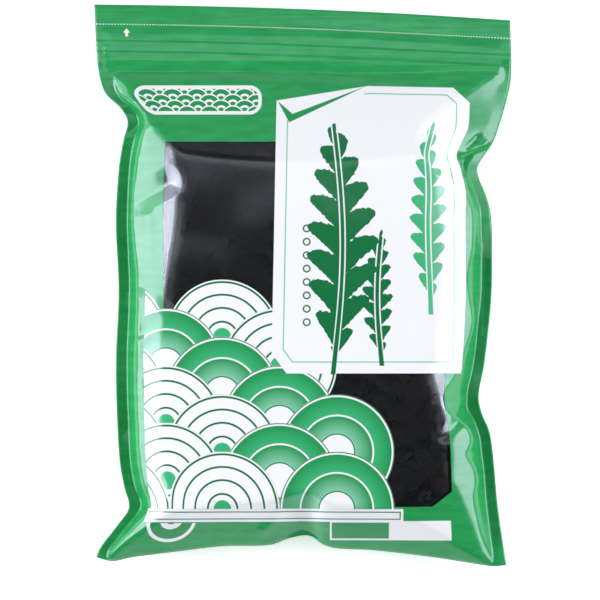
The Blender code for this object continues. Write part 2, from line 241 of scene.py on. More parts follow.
def back_fall(x, y):
    """How far the back film hangs under the seam."""
    left, right, lower, upper = from_edges(x, y)
    walls = [BACK_WALL * inside for inside in (left, right, lower)]
    planes = (*walls, BACK_UPPER * upper, 1.1 * SEAM_HEIGHT * np.ones_like(x))
    return np.maximum(0, lowest(planes, BACK_ROUNDING))


def underside(x, y):
    """The lowest place for the back film: the table in the middle, a little over it further out."""
    out = np.hypot((x - REST_CENTRE[0]) / REST_HALF[0], (y - REST_CENTRE[1]) / REST_HALF[1])
    return REST_CURVE * np.maximum(0, out - 1) ** 1.2


def rolling(x, y, size, seed):
    """Smooth noise over the plan, about -1 to 1, with lumps of one size."""
    return np.array([noise.noise((p / size, q / size, seed)) for p, q in zip(x, y)])


print("the front face is up to", round((SEAM_HEIGHT + FRONT_RISE) / MM, 1), "mm over the table")

# %% [markdown]
# ## Creases
#
# Film bends easily but hardly stretches, so it folds along straight creases with flat
# facets between them. Each crease here is a tent or, with a negative height, a gutter: a
# straight ridge whose two faces fall away evenly and which dies out at its far end. It is
# (start, end, height, half width) in millimetres. The long ones turn a strip of a facet away
# from the lamp, which is what makes them visible.

# %% Creases of the front film
UNEVEN = 0.25 * MM
UNEVEN_SIZE = 28 * MM
CREASES = (
    ((-92, 86), (-74, 93), -2.6, 7), ((92, 62), (74, 69), -3.2, 7),
    ((93, -59), (74.4, -79), -2.4, 4), ((-92, -117), (-76, -108), -2.6, 7),
    ((1, -135), (-3, -119), -2.6, 9),
    ((-70, 54), (-88, 43), -1.85, 7.5), ((-86, 92), (-80, 60), 1.8, 11),
    ((-90, -27), (-79, -24), -1.2, 3), ((-81, 36), (-77, -12), 0.5, 4), ((-86, -8), (-72, -16), 1.2, 7),
    ((-86, -44), (-72, -58), -1.1, 9), ((-86, -84), (-74, -76), 1.2, 9),
    ((72, -36), (84, -48), 1.0, 6),
    ((-88, 2), (-84, -60), 0.6, 2), ((-20, -129), (-12, -121), 0.9, 4), ((-12, -121), (4, -129), 0.9, 4),
    ((97, 75), (84, 69), 1.3, 2.4), ((92, 78), (86, 72), -1.2, 2.2), ((93, 65), (80, 68), -1.0, 2),
    ((86, 56), (89.5, 41), 1.2, 2.6), ((90, 55), (97, 42), -1.0, 2.4),
    ((95, 40), (92.5, 20), -0.8, 1.6), ((94, 22), (94, -26), 0.8, 1.2),
    ((-103.5, 126), (-103.5, 116), 0.8, 1.6),
    ((35.6, 146), (35.6, 107), 0.3, 2), ((18, 109), (64, 106), -0.7, 3),
    ((-60, 110), (-20, 107), 0.5, 3),
)


def crease_height(x, y, creases):
    """How far the creases lift the film, or press it in."""
    height = np.zeros_like(x)
    for start, end, rise, half_width in creases:
        a, b = np.array(start) * MM, np.array(end) * MM
        along = b - a
        share = ((x - a[0]) * along[0] + (y - a[1]) * along[1]) / (along @ along)
        near = np.clip(share, 0, 1)
        away = np.hypot(x - a[0] - near * along[0], y - a[1] - near * along[1]) / (half_width * MM)
        height += rise * MM * np.maximum(0, 1.1 - np.sqrt(away**2 + 0.01)) * (1 - 0.6 * near)
    return height


def front_inside(x, y):
    """The height of the front film's inner face."""
    rise = front_rise(x, y)
    rise += UNEVEN * rolling(x, y, UNEVEN_SIZE, 0.3) * eased(rise, 0, 12 * MM)
    rise = np.maximum(0, rise + crease_height(x, y, CREASES))
    return seam_height(x, y) + FILM + rise + zip_bulge(x, y)


def back_inside(x, y):
    """The height of the back film's inner face, flat where the pouch lies on it."""
    fall = seam_height(x, y) - FILM - back_fall(x, y) - zip_bulge(x, y)
    return np.maximum(fall, underside(x, y) + FILM)


print(len(CREASES), "creases")

# %% [markdown]
# ## Making a film
#
# A flat grid is laid out in film coordinates, u across and v up the print. The edges then
# pull it to the pouch's outline, strongly at the fins and hardly at all in the middle, so
# that the print stays straight there and bends with the kinks at the sides. On the right the
# label's edge shows how far the print follows a kink, so one column of it has a path of its
# own. The film coordinates are kept as a UV map, which the print reads.

# %% Lay out the films
PRINT_HALF = 100.0 * MM
FRONT_GRID = (190, 256)
BACK_GRID = (110, 150)
STILL = 0.35
RIGHT_COLUMN = 0.85
RIGHT_PRINT = (
    (-148, 89.5), (-117, 86.8), (-90, 85.3), (-77, 84.1), (-58.5, 80.8), (-42, 82.6), (-9, 84.7),
    (35, 85.4), (48, 86.0), (61, 83.8), (68, 81.5), (76, 84.6), (83, 88.0), (96, 89.0), (112, 90.9),
    (140, 90.7),
)


def grid_mesh(name, columns, rows, dropped=None, thickness=0.0):
    """A flat grid over -1 to 1 as a mesh, without the columns of faces that are dropped."""
    grid = bmesh.new()
    bmesh.ops.create_grid(grid, x_segments=columns, y_segments=rows, size=1)
    if dropped:
        step = 2 / columns
        lost = [face for face in grid.faces if dropped(int((face.calc_center_median().x + 1) / step))]
        bmesh.ops.delete(grid, geom=lost, context="FACES")
    if thickness:
        bmesh.ops.solidify(grid, geom=grid.faces[:], thickness=thickness)
    mesh = bpy.data.meshes.new(name)
    grid.to_mesh(mesh)
    grid.free()
    return mesh


def vertices_of(mesh):
    """A mesh's vertices as an array of rows."""
    flat = np.zeros(len(mesh.vertices) * 3)
    mesh.vertices.foreach_get("co", flat)
    return flat.reshape(-1, 3)


def pull(across, y):
    """How far the pouch's edges pull a place on the flat film sideways."""
    left = through(LEFT_FIN, y) + PRINT_HALF
    inner = through(RIGHT_PRINT, y) - RIGHT_COLUMN * PRINT_HALF
    outer = through(RIGHT_FIN, y) - PRINT_HALF - inner
    to_left = np.clip((-across - STILL) / (1 - STILL), 0, 1) ** 2
    to_column = np.clip((across - STILL) / (RIGHT_COLUMN - STILL), 0, 1) ** 2
    past_column = np.clip((across - RIGHT_COLUMN) / (1 - RIGHT_COLUMN), 0, 1)
    return left * to_left + inner * to_column + outer * past_column


def film_grid(name, columns, rows, height):
    """A film's face as an object, with its flat coordinates in the UV map called print."""
    mesh = grid_mesh(name, columns, rows)
    across, along, _ = vertices_of(mesh).T
    along = (along + 1) / 2
    u = across * PRINT_HALF
    y = (along - 0.5) * POUCH_LENGTH
    for _ in range(5):
        x = u + pull(across, y)
        y = through(LOWER_EDGE, x) * (1 - along) + top_edge(x) * along
    mesh.vertices.foreach_set("co", np.stack((x, y, height(x, y)), 1).ravel())
    corners = np.zeros(len(mesh.loops), int)
    mesh.loops.foreach_get("vertex_index", corners)
    mesh.uv_layers.new(name="print").data.foreach_set("uv", np.stack((u, y), 1)[corners].ravel())
    mesh.shade_smooth()
    film = bpy.data.objects.new(name, mesh)
    bpy.context.scene.collection.objects.link(film)
    return film


def give_thickness(film):
    """A film's face made into a closed sheet, its new side outwards."""
    wall = film.modifiers.new("wall", "SOLIDIFY")
    wall.thickness = FILM
    wall.offset = 1


front = film_grid("front_film_print", *FRONT_GRID, front_inside)
back = film_grid("back_film_print", *BACK_GRID, back_inside)
back.data.flip_normals()
for film, node, slot in ((front, "front_film", "printed_film"), (back, "back_film", "back_film")):
    give_thickness(film)
    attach(film, "root")
    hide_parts(node)
    print(film.name, len(film.data.polygons), "faces")

# %% [markdown]
# ## Shader maths
#
# A print is a picture made of shapes, and each shape is a sum: how far inside its edge is
# this point? Written as plain Python expressions, the sums stay readable. A wire stands
# for a node's output, and an expression on wires adds the Math nodes.

# %% Wires and nodes


class Wire:
    """A node's output that can be used in sums."""

    def __init__(self, bench, socket):
        self.bench = bench
        self.socket = socket

    def math(self, operation, *others):
        values = dict(enumerate((self, *others)))
        return self.bench.node("ShaderNodeMath", {"operation": operation}, values)

    def __add__(self, other):
        return self.math("ADD", other)

    def __sub__(self, other):
        return self.math("SUBTRACT", other)

    def __mul__(self, other):
        return self.math("MULTIPLY", other)

    def __truediv__(self, other):
        return self.math("DIVIDE", other)

    def __rsub__(self, other):
        return self * -1 + other

    def __abs__(self):
        return self.math("ABSOLUTE")

    __radd__ = __add__
    __rmul__ = __mul__

    def least(self, other):
        return self.math("MINIMUM", other)

    def most(self, other):
        return self.math("MAXIMUM", other)

    def clamped(self):
        return self.most(0.0).least(1.0)


class Workbench:
    """A material's or a world's nodes, and the one way in which they are added."""

    def __init__(self, owner):
        owner.use_nodes = True
        self.tree = owner.node_tree
        self.tree.nodes.clear()

    def node(self, kind, settings=None, inputs=None, output=0):
        """Add a node: its settings, then the values or wires of its inputs. Returns a wire."""
        made = self.tree.nodes.new(kind)
        for key, value in (settings or {}).items():
            if key == "stops":
                while len(made.color_ramp.elements) < len(value):
                    made.color_ramp.elements.new(0.5)
                for element, (place, colour) in zip(made.color_ramp.elements, value):
                    element.position = place
                    element.color = (*colour, 1)
            else:
                setattr(made, key, value)
        for key, value in (inputs or {}).items():
            if isinstance(value, Wire):
                self.tree.links.new(value.socket, made.inputs[key])
            elif hasattr(value, "__len__") and len(value) == 3 and made.inputs[key].type == "RGBA":
                made.inputs[key].default_value = (*value, 1)
            else:
                made.inputs[key].default_value = value
        return Wire(self, made.outputs[output]) if made.outputs else None

    def colour_mix(self, share, under, over):
        """One colour over another by a share from 0 to 1."""
        return self.node("ShaderNodeMix", {"data_type": "RGBA"}, {0: share, 6: under, 7: over}, 2)

    def noise(self, place, scale, detail=2.0):
        """Noise around 0.5 with a number of lumps to the metre."""
        return self.node("ShaderNodeTexNoise", {}, {"Vector": place, "Scale": scale, "Detail": detail})

    def along_web(self, flat, share):
        """The flat place with its u shortened, so that noise on it runs in streaks across the pouch."""
        shorter = {0: flat, 1: (share, 1, 1)}
        return self.node("ShaderNodeVectorMath", {"operation": "MULTIPLY"}, shorter)


def new_material(name):
    """A material and its workbench."""
    material = bpy.data.materials.new(name)
    return material, Workbench(material)


def rgb(*shown):
    """A shader's colour from the red, green and blue of 0 to 255 that a picture shows."""
    return tuple(((part / 255 + 0.055) / 1.055) ** 2.4 for part in shown)


print("mid grey is", round(rgb(128)[0], 3), "in a shader")

# %% [markdown]
# ## The print
#
# All measures are in millimetres on the flat film. A shape's depth is positive inside it,
# so the least of several depths is where they overlap. The colours are those of the inks:
# a deep and a light green, mint and white.

# %% Inks and simple shapes
PRINT_GREEN = rgb(38, 146, 80)
DEEP_GREEN = rgb(20, 112, 62)
LIGHT_GREEN = rgb(62, 178, 118)
MINT = rgb(128, 200, 165)
PAPER_WHITE = rgb(242, 243, 246)


def right_of(u, v, start, end):
    """How far a point lies to the right of the line from start to end, going along it."""
    run, rise = end[0] - start[0], end[1] - start[1]
    length = math.hypot(run, rise)
    return u * (rise / length) - v * (run / length) + (start[1] * run - start[0] * rise) / length


def inside_polygon(u, v, corners):
    """The depth inside a convex polygon whose corners go round clockwise."""
    depth = right_of(u, v, corners[-1], corners[0])
    for start, end in zip(corners, corners[1:]):
        depth = depth.least(right_of(u, v, start, end))
    return depth


def inked(depth, edge=0.3):
    """A share from 0 to 1 that turns over across a printed edge."""
    return (depth / edge + 0.5).clamped()


def reach(p, q):
    """The distance of a point from nought, from its two parts."""
    return (p * p + q * q).math("SQRT")


def rounded_box(u, v, left, right, bottom, top, corner):
    """The depth inside a box with round corners."""
    beyond_u = abs(u - (left + right) / 2) - ((right - left) / 2 - corner)
    beyond_v = abs(v - (bottom + top) / 2) - ((top - bottom) / 2 - corner)
    return corner - reach(beyond_u.most(0.0), beyond_v.most(0.0)) - beyond_u.most(beyond_v).least(0.0)


# %% [markdown]
# ### Overlapping wave scales
#
# The lower left carries a heap of waves: rows of round scales, each row half a scale to the
# side of the one below and partly behind it. A point can only lie in the scales of four
# rows, so these are laid over one another from the back to the front. A scale is drawn
# where its own centre lies in the heap, which gives the heap its scalloped edge.


# %% Wave scales
def wave_scales(u, v, radius, start, rows, kind_of):
    """Wave scales at a point: how far out it lies, 0 to 1, the share drawn and the scale's kind."""
    row = ((v - start[1]) / (radius / 2)).math("FLOOR")
    found = (0.0, 0.0, 0.0)
    for lift in rows:
        this_row = row + lift
        shift = this_row.math("FLOORED_MODULO", 2.0) * radius + start[0]
        centre_u = ((u - shift) / (2 * radius)).math("ROUND") * (2 * radius) + shift
        centre_v = this_row * (radius / 2) + start[1]
        out = reach(u - centre_u, v - centre_v) / radius
        exists, kind = kind_of(centre_u, centre_v)
        drawn = inked(1 - out, 0.3 / radius) * exists
        found = [above * drawn + (1 - drawn) * below for above, below in zip((out, 1.0, kind), found)]
    return found


def rings(bench, out, stops):
    """A scale's rings from (outer radius, colour at the inner side, colour at the outer side)."""
    ramp = []
    start = 0.0
    for end, inner, outer in stops:
        ramp += [(start, inner), (end - 0.004, outer)]
        start = end
    return bench.node("ShaderNodeValToRGB", {"stops": ramp}, {0: out})


# %% [markdown]
# ### A frond of wakame
#
# The label shows fronds as a brush would draw them: a stem, and a blade whose edge swings
# out in lobes that sweep upwards. The edge is one curve, the lobes a power of a sine along
# the stem, and the sweep comes from reading that curve a little lower down the further a
# point is from the stem.


# %% Frond
SWAY = 3.3
STEM_HALF = 1.2


def frond(u, v, foot, length, half_width, pitch, lean, ragged):
    """The depth inside a frond with lobes on both sides of its stem, placed by turns."""
    up = (v - foot[1]) / length
    beside = u - (up * SWAY).math("SINE") * lean - foot[0]
    aside = abs(beside)
    swept = v - foot[1] - aside + aside * aside * (0.4 / half_width)
    share = (swept / length).clamped().math("POWER", 0.7)
    widest = (share * math.pi).math("SINE").math("POWER", 0.8) * half_width
    out = (aside / widest.most(0.1)).clamped()
    turn = ((swept + beside.math("SIGN") * (pitch / 4)) / pitch).math("FRACT")
    lobe = (1 - out).math("POWER", 0.55) * (0.58 * pitch) - abs(turn - 0.5) * pitch
    blade = lobe.least(widest - aside) + ragged
    beside_stem = abs(aside - STEM_HALF - 0.1) - 0.35
    blade = blade.least(beside_stem).least(up.least(1 - up) * length)
    stem = (STEM_HALF - up * 0.8 - aside).least((up + 0.08).least(0.97 - up) * length)
    return blade.most(stem)


# %% [markdown]
# ### The front's design
#
# The design is a stack: the ground first, then the header's cutting line, the badge, the
# waves, the label and the small box, each laid over the colour so far by the share that it
# covers. The window is what the waves and the label leave of it. Its places come from the
# photograph, and its motifs are plain ones: wave scales and seaweed.

# %% Places in the design
WINDOW = ((-73.6, 74.9), (77.3, 74.9), (77.3, -108.2), (67.3, -116.1), (-73.6, -116.1))
LABEL = (
    (-13.6, 96.9), (34.3, 104.7), (75.9, 103.8), (84.1, 95.8), (86.2, -46.3), (-8.3, -46.3),
    (-16.1, -35.7),
)
FOLD = (
    ((-13.0, 96.6), (-5.2, 89.8), (-4.6, 86.6), (-7.0, 85.2)),
    ((-7.0, 85.2), (-5.2, 89.8), (34.0, 104.8)),
)
DARK_FRONDS = (((17.0, -37.0), 122.0, 19.0, 15.0, 4.0), ((41.0, -37.0), 66.0, 8.0, 8.0, -2.0))
PALE_FROND = ((67.0, -8.0), 94.0, 9.5, 10.0, -1.5)
CUT_BELOW_TOP = 10.4
ZIP_BELOW_TOP = 22.1
BOLD_RINGS = (
    (0.30, PRINT_GREEN, PRINT_GREEN), (0.50, PAPER_WHITE, PAPER_WHITE),
    (0.88, PRINT_GREEN, PRINT_GREEN), (1.0, PAPER_WHITE, PAPER_WHITE),
)
LINE_RINGS = tuple(
    (end, tone, tone)
    for end, tone in (
        (0.16, LIGHT_GREEN), (0.25, PAPER_WHITE), (0.285, DEEP_GREEN), (0.49, PAPER_WHITE),
        (0.525, DEEP_GREEN), (0.72, PAPER_WHITE), (0.755, DEEP_GREEN), (0.94, PAPER_WHITE),
        (0.975, DEEP_GREEN), (1.0, PAPER_WHITE),
    )
)
SHADED_RINGS = (
    (0.30, PAPER_WHITE, PAPER_WHITE), (0.32, DEEP_GREEN, DEEP_GREEN), (0.62, MINT, PRINT_GREEN),
    (0.65, PAPER_WHITE, PAPER_WHITE), (0.955, LIGHT_GREEN, PRINT_GREEN),
    (0.985, PAPER_WHITE, PAPER_WHITE), (1.0, DEEP_GREEN, DEEP_GREEN),
)
WAVE = 30.0
WAVE_START = (-42.0, -117.2)
WAVE_LEFT = -84.0
WAVE_TOP = -20.0
WAVE_REACH = 112.0
SHADED_FROM, SHADED_TO = 67.0, 90.0
BAR_DEPTH = 7.0
BADGE_WAVE = 6.2

print("window is", round(WINDOW[1][0] - WINDOW[0][0], 1), "mm wide")

# %% [markdown]
# ### The heap of waves
#
# The heap ends on a circle around its lower left corner, and a band of it further out is
# shaded in greens while the rest is drawn in lines. It stands on a grooved white bar, and
# half a round scale hangs under the bar.


# %% The waves
def wave_kind(centre_u, centre_v):
    """Whether a scale belongs to the heap of waves, and whether it is a shaded one, each 1 or 0."""
    away = reach(centre_u - WAVE_LEFT, centre_v - WAVE_START[1])
    exists = away.math("LESS_THAN", WAVE_REACH) * centre_v.math("LESS_THAN", WAVE_TOP)
    exists = exists * centre_v.math("GREATER_THAN", WAVE_START[1] - 1)
    shaded = away.math("GREATER_THAN", SHADED_FROM) * away.math("LESS_THAN", SHADED_TO)
    return exists, shaded.most(centre_u.math("GREATER_THAN", 0.0))


def wave_print(bench, u, v, colour):
    """The heap of waves on a grooved white bar, over a colour, and the share that they cover."""
    foot = WAVE_START[1]
    out, drawn, shaded = wave_scales(u, v, WAVE, WAVE_START, (2, 1, 0, -1), wave_kind)
    scales = bench.colour_mix(shaded, rings(bench, out, LINE_RINGS), rings(bench, out, SHADED_RINGS))
    drawn = drawn * inked(v - foot) * u.math("GREATER_THAN", WAVE_LEFT)
    colour = bench.colour_mix(drawn, colour, scales)
    bar = rounded_box(u, v, -86.0, 52.5, foot - BAR_DEPTH, foot, 0.4)
    colour = bench.colour_mix(inked(bar), colour, PAPER_WHITE)
    colour = bench.colour_mix(inked(0.3 - abs(bar - 1.6)), colour, DEEP_GREEN)
    under = reach(u + 70, v - foot + 4) / 14
    low = inked(1 - under, 0.03) * inked(foot - BAR_DEPTH - 0.6 - v)
    colour = bench.colour_mix(low, colour, rings(bench, under, BOLD_RINGS))
    return colour, drawn.most(inked(bar))


# %% [markdown]
# ### Header, badge, label and box
#
# The cutting line keeps one distance from the pouch's curved top edge, so it is drawn by how
# far a point lies below that edge. The label's fold is a green triangle in two parts.


# %% The header, the badge, the label and the box
def under_top(u, v):
    """How far a point lies below the pouch's top edge."""
    across = u / (POUCH_HALF / MM)
    edge = across * (TOP_TILT / MM) + across * across * (TOP_BOW / MM) + TOP_MIDDLE / MM
    return edge - v


def header_print(bench, u, v, colour):
    """The dashed cutting line with its arrow, in white."""
    line = inked(0.28 - abs(under_top(u, v) - CUT_BELOW_TOP))
    dashes = line * (u / 1.26).math("FRACT").math("LESS_THAN", 0.44)
    head = inside_polygon(u, v, ((-88.4, 133.2), (-86.9, 135.4), (-85.4, 133.2)))
    shaft = rounded_box(u, v, -87.5, -86.3, 131.2, 133.6, 0.1)
    return bench.colour_mix(dashes.most(inked(head.most(shaft))), colour, PAPER_WHITE)


def badge_print(bench, u, v, colour):
    """A white lozenge of small waves at the upper left."""
    lozenge = rounded_box(u, v, -86.6, -21.4, 89.4, 105.0, 6.5)
    colour = bench.colour_mix(inked(lozenge), colour, PAPER_WHITE)
    out, drawn, _ = wave_scales(u, v, BADGE_WAVE, (-55.2, 91.3), (0, -1), lambda *centre: (1.0, 0.0))
    scales = rings(bench, out, BOLD_RINGS)
    return bench.colour_mix(inked(lozenge - 1.8) * drawn, colour, scales)


def label_print(bench, u, v, colour, ragged):
    """The white label: a fine line inside its edge, a folded corner and three fronds."""
    depth = inside_polygon(u, v, LABEL)
    colour = bench.colour_mix(inked(depth), colour, PAPER_WHITE)
    inner = inside_polygon(u, v - ((v - 60) / 20).clamped() * 2.0, LABEL)
    corner = rounded_box(u, v, -30.0, 32.5, 86.5, 130.0, 0.1)
    keyline = inked(0.33 - abs(inner - 6.0)) * (1 - inked(corner))
    colour = bench.colour_mix(keyline, colour, MINT)
    fold = inside_polygon(u, v, FOLD[0]).most(inside_polygon(u, v, FOLD[1]))
    colour = bench.colour_mix(inked(fold), colour, PRINT_GREEN)
    for dark_frond in DARK_FRONDS:
        colour = bench.colour_mix(inked(frond(u, v, *dark_frond, ragged)), colour, DEEP_GREEN)
    tint = bench.colour_mix(((u - 62) / 12).clamped() * 0.75, LIGHT_GREEN, MINT)
    colour = bench.colour_mix(inked(frond(u, v, *PALE_FROND, ragged * 0.5)), colour, tint)
    beads = reach(u - 2.2, ((v + 23) / 7.0).math("FRACT") * 7.0 - 3.5)
    column = inked(0.4 - abs(beads - 1.7)) * inked(rounded_box(u, v, -2.0, 6.5, -23.0, 33.0, 0.1))
    return bench.colour_mix(column, colour, DEEP_GREEN), inked(depth)


def weight_box_print(bench, u, v, colour):
    """A box in two halves, one green and one white."""
    box = rounded_box(u, v, 14.5, 76.2, -134.2, -123.6, 0.3)
    colour = bench.colour_mix(inked(box), colour, PAPER_WHITE)
    left = rounded_box(u, v, 15.4, 45.3, -133.3, -124.5, 0.2)
    return bench.colour_mix(inked(left), colour, PRINT_GREEN)


def ground_print(bench, flat):
    """The green ground, a little uneven along the web."""
    uneven = (bench.noise(bench.along_web(flat, 0.25), 260, 3.0) - 0.5) * 1.6 + 0.5
    return bench.colour_mix(uneven.clamped(), rgb(33, 140, 76), rgb(48, 164, 90))


def front_print(bench, flat, u, v, ragged):
    """The front's colour, and the share of clear window."""
    clear = inked(inside_polygon(u, v, WINDOW))
    colour = header_print(bench, u, v, ground_print(bench, flat))
    colour = badge_print(bench, u, v, colour)
    colour, waves = wave_print(bench, u, v, colour)
    colour, label = label_print(bench, u, v, colour, ragged)
    colour = weight_box_print(bench, u, v, colour)
    return colour, clear * (1 - label) * (1 - waves)


# %% [markdown]
# ## Materials of the films and the zip
#
# Printed film is ink under clear plastic, so it is a glossy principled surface, with a tint
# in its mirror image as the photograph's highlights lean to blue. The window is bare film:
# mostly transparent, with a mirror image that grows towards grazing angles. Fine wrinkles,
# the header's long streaks and the zip's two ridges are far thinner than the film's mesh
# could hold, so they are bumps.

# %% Film materials
GLOSS_TINT = (0.80, 0.80, 1.0)
WRINKLE = 0.16 * MM
STREAK = 0.12 * MM
ZIP_RIDGE = 0.22 * MM


def flat_place(bench):
    """The place on the flat film: its vector in metres, then u and v in millimetres."""
    flat = bench.node("ShaderNodeUVMap", {"uv_map": "print"})
    u, v = (bench.node("ShaderNodeSeparateXYZ", {}, {0: flat}, k) * (1 / MM) for k in (0, 1))
    return flat, u, v


def film_relief(bench, flat, u, v):
    """The film's fine wrinkles and the header's streaks and zip ridges, as a normal."""
    wrinkles = bench.noise(flat, 60, 2.0) * WRINKLE
    in_header = ((v - 106) / 8).clamped()
    streaks = bench.noise(bench.along_web(flat, 0.05), 420, 2.0) * in_header * STREAK
    ridges = abs(abs(under_top(u, v) - ZIP_BELOW_TOP) - 2.8) * -1.6 + 1
    height = ridges.clamped() * ZIP_RIDGE + wrinkles + streaks
    return bench.node("ShaderNodeBump", {}, {"Strength": 1.0, "Distance": 1.0, "Height": height})


def printed_surface(bench, colour, relief):
    """Ink under glossy film."""
    values = {"Base Color": colour, "Roughness": 0.14, "IOR": 1.56, "Normal": relief}
    values["Specular Tint"] = GLOSS_TINT
    return bench.node("ShaderNodeBsdfPrincipled", {}, values)


def front_film_material():
    """Glossy printed film with a clear window."""
    material, bench = new_material("printed_film")
    flat, u, v = flat_place(bench)
    ragged = (bench.noise(flat, 420, 2.0) - 0.5) * 3.0
    colour, clear = front_print(bench, flat, u, v, ragged)
    relief = film_relief(bench, flat, u, v)
    gloss = bench.node("ShaderNodeFresnel", {}, {"IOR": 1.46, "Normal": relief})
    bare = bench.node("ShaderNodeBsdfTransparent", {}, {"Color": (0.97, 0.97, 0.97)})
    mirror = {"Color": (0.82, 0.87, 1.0), "Roughness": 0.1, "Normal": relief}
    shine = bench.node("ShaderNodeBsdfGlossy", {}, mirror)
    pane = bench.node("ShaderNodeMixShader", {}, {0: gloss, 1: bare, 2: shine})
    printed = printed_surface(bench, colour, relief)
    film = bench.node("ShaderNodeMixShader", {}, {0: clear, 1: printed, 2: pane})
    bench.node("ShaderNodeOutputMaterial", {}, {0: film})
    return material


def back_film_material():
    """Glossy green film with a bare white panel."""
    material, bench = new_material("back_film")
    flat, u, v = flat_place(bench)
    panel = rounded_box(u, v, -70.0, 70.0, -104.0, 84.0, 5.0)
    colour = bench.colour_mix(inked(panel), ground_print(bench, flat), PAPER_WHITE)
    colour = bench.colour_mix(inked(0.3 - abs(panel - 4.0)), colour, MINT)
    surface = printed_surface(bench, colour, film_relief(bench, flat, u, v))
    bench.node("ShaderNodeOutputMaterial", {}, {0: surface})
    return material


def zip_material():
    """Milky plastic of the zip's two tracks."""
    material, bench = new_material("zip_track")
    values = {"Base Color": (0.8, 0.84, 0.82), "Roughness": 0.35}
    plastic = bench.node("ShaderNodeBsdfPrincipled", {}, values)
    bench.node("ShaderNodeOutputMaterial", {}, {0: plastic})
    return material


for film, material in ((front, front_film_material()), (back, back_film_material())):
    film.data.materials.append(material)
    print(material.name, "has", len(material.node_tree.nodes), "nodes")
milky = zip_material()
for node in ("zip_lip_track", "zip_rib_track"):
    track = bpy.data.objects[node]
    track.data.materials.clear()
    track.data.materials.append(milky)
    print(node, "is milky")

# %% [markdown]
# ## The wakame
#
# Cut wakame dries to small crumpled scraps, nearly black. A dark core fills the pouch, and
# scraps of a few faces each lie on it in layers. Both have to stay clear of the films, so
# one function moves any place into the room between them.

# %% Room inside the pouch
HEAP_CENTRE = (0.5 * MM, -21.0 * MM)
HEAP_HALF = (82.0 * MM, 103.0 * MM)
HEAP_SQUARENESS = 7
CLEAR = 0.25 * MM
CORE_UNDER = 4.0 * MM
CORE_GRID = (60, 76)


def heap_reach(x, y):
    """How far out a place lies in the heap, 1 on its outline, a rectangle with rounded corners."""
    across = np.abs(x - HEAP_CENTRE[0]) / HEAP_HALF[0]
    along = np.abs(y - HEAP_CENTRE[1]) / HEAP_HALF[1]
    return (across**HEAP_SQUARENESS + along**HEAP_SQUARENESS) ** (1 / HEAP_SQUARENESS)


def front_clear(x, y):
    """The height that the wakame may reach: just under the lowest film within a few millimetres."""
    around = ((0, 0), (3, 0), (-3, 0), (0, 3), (0, -3))
    return np.minimum.reduce([front_inside(x + a * MM, y + b * MM) for a, b in around]) - CLEAR


def inside_film(points, under=0.0):
    """Points moved as little as it takes to lie in the heap's outline and clear of both films."""
    x, y, z = points.T
    share = np.minimum(1, 1 / np.maximum(heap_reach(x, y), 0.01))
    x = HEAP_CENTRE[0] + (x - HEAP_CENTRE[0]) * share
    y = HEAP_CENTRE[1] + (y - HEAP_CENTRE[1]) * share
    z = np.clip(z, back_inside(x, y) + CLEAR, front_clear(x, y) - under)
    return np.stack((x, y, z), 1)


def wakame_core():
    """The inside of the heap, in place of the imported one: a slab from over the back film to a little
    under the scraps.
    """
    mesh = grid_mesh("wakame_core", *CORE_GRID, thickness=1)
    flat = vertices_of(mesh)
    x = HEAP_CENTRE[0] + flat[:, 0] * HEAP_HALF[0]
    y = HEAP_CENTRE[1] + flat[:, 1] * HEAP_HALF[1]
    z = np.where(abs(flat[:, 2]) > 0.5, 0, front_clear(x, y) - CORE_UNDER)
    mesh.vertices.foreach_set("co", inside_film(np.stack((x, y, z), 1)).ravel())
    return mesh


# %% [markdown]
# ### Scraps
#
# One long grid is the quickest start for thousands of scraps: every fourth column of faces is
# taken out, and each piece of three by three faces that is left becomes a scrap. It is bent
# and crumpled by random amounts, laid somewhere in the heap, and pressed down where it would
# come through the film. Sizes and depths are ranges in millimetres.

# %% Scraps
SCRAPS = 2200
SCRAP_COLUMNS = 4
SCRAP_SIZE = (5, 11)
SCRAP_DEPTH = (0.1, 3.8)


def wakame_scraps():
    """Crumpled scraps of dried leaf, each a small grid of its own, cut out of one long grid."""
    columns = SCRAP_COLUMNS * SCRAPS - 1
    gap = SCRAP_COLUMNS - 1
    mesh = grid_mesh("wakame_scraps", columns, 3, dropped=lambda face: face % SCRAP_COLUMNS == gap)
    flat = vertices_of(mesh)
    place = np.round((flat[:, 0] + 1) / 2 * columns).astype(int)
    scrap, column = place // SCRAP_COLUMNS, place % SCRAP_COLUMNS
    draw = np.random.default_rng(11)
    size = draw.uniform(*SCRAP_SIZE, SCRAPS)[scrap] * MM
    turn = draw.uniform(0, 2 * math.pi, SCRAPS)[scrap]
    tilt = draw.normal(0, 0.25, (2, SCRAPS))[:, scrap]
    p = size * ((column - 1.5) / 1.5 + 0.16 * draw.normal(size=len(flat)))
    q = size * (flat[:, 1] * draw.uniform(0.4, 0.9, SCRAPS)[scrap] + 0.14 * draw.normal(size=len(flat)))
    middle = draw.uniform(-0.98, 0.98, (2, SCRAPS))[:, scrap]
    x = HEAP_CENTRE[0] + middle[0] * HEAP_HALF[0] + p * np.cos(turn) - q * np.sin(turn)
    y = HEAP_CENTRE[1] + middle[1] * HEAP_HALF[1] + p * np.sin(turn) + q * np.cos(turn)
    lift = tilt[0] * p + tilt[1] * q + 0.09 * size * draw.normal(size=len(flat))
    depth = draw.uniform(*SCRAP_DEPTH, SCRAPS)[scrap] * MM
    points = inside_film(np.stack((x, y, front_clear(x, y) - depth + lift), 1), depth / 3)
    mesh.vertices.foreach_set("co", points.ravel())
    return mesh


# %% [markdown]
# ### Dried leaf
#
# Dried wakame is nearly black, with broad drifts of slate and brown, and a fine grain that
# also dents it.

# %% Dried leaf
LEAF_STOPS = (
    (0.32, (0.003, 0.004, 0.009)), (0.5, (0.005, 0.006, 0.007)), (0.66, (0.015, 0.007, 0.005)),
)


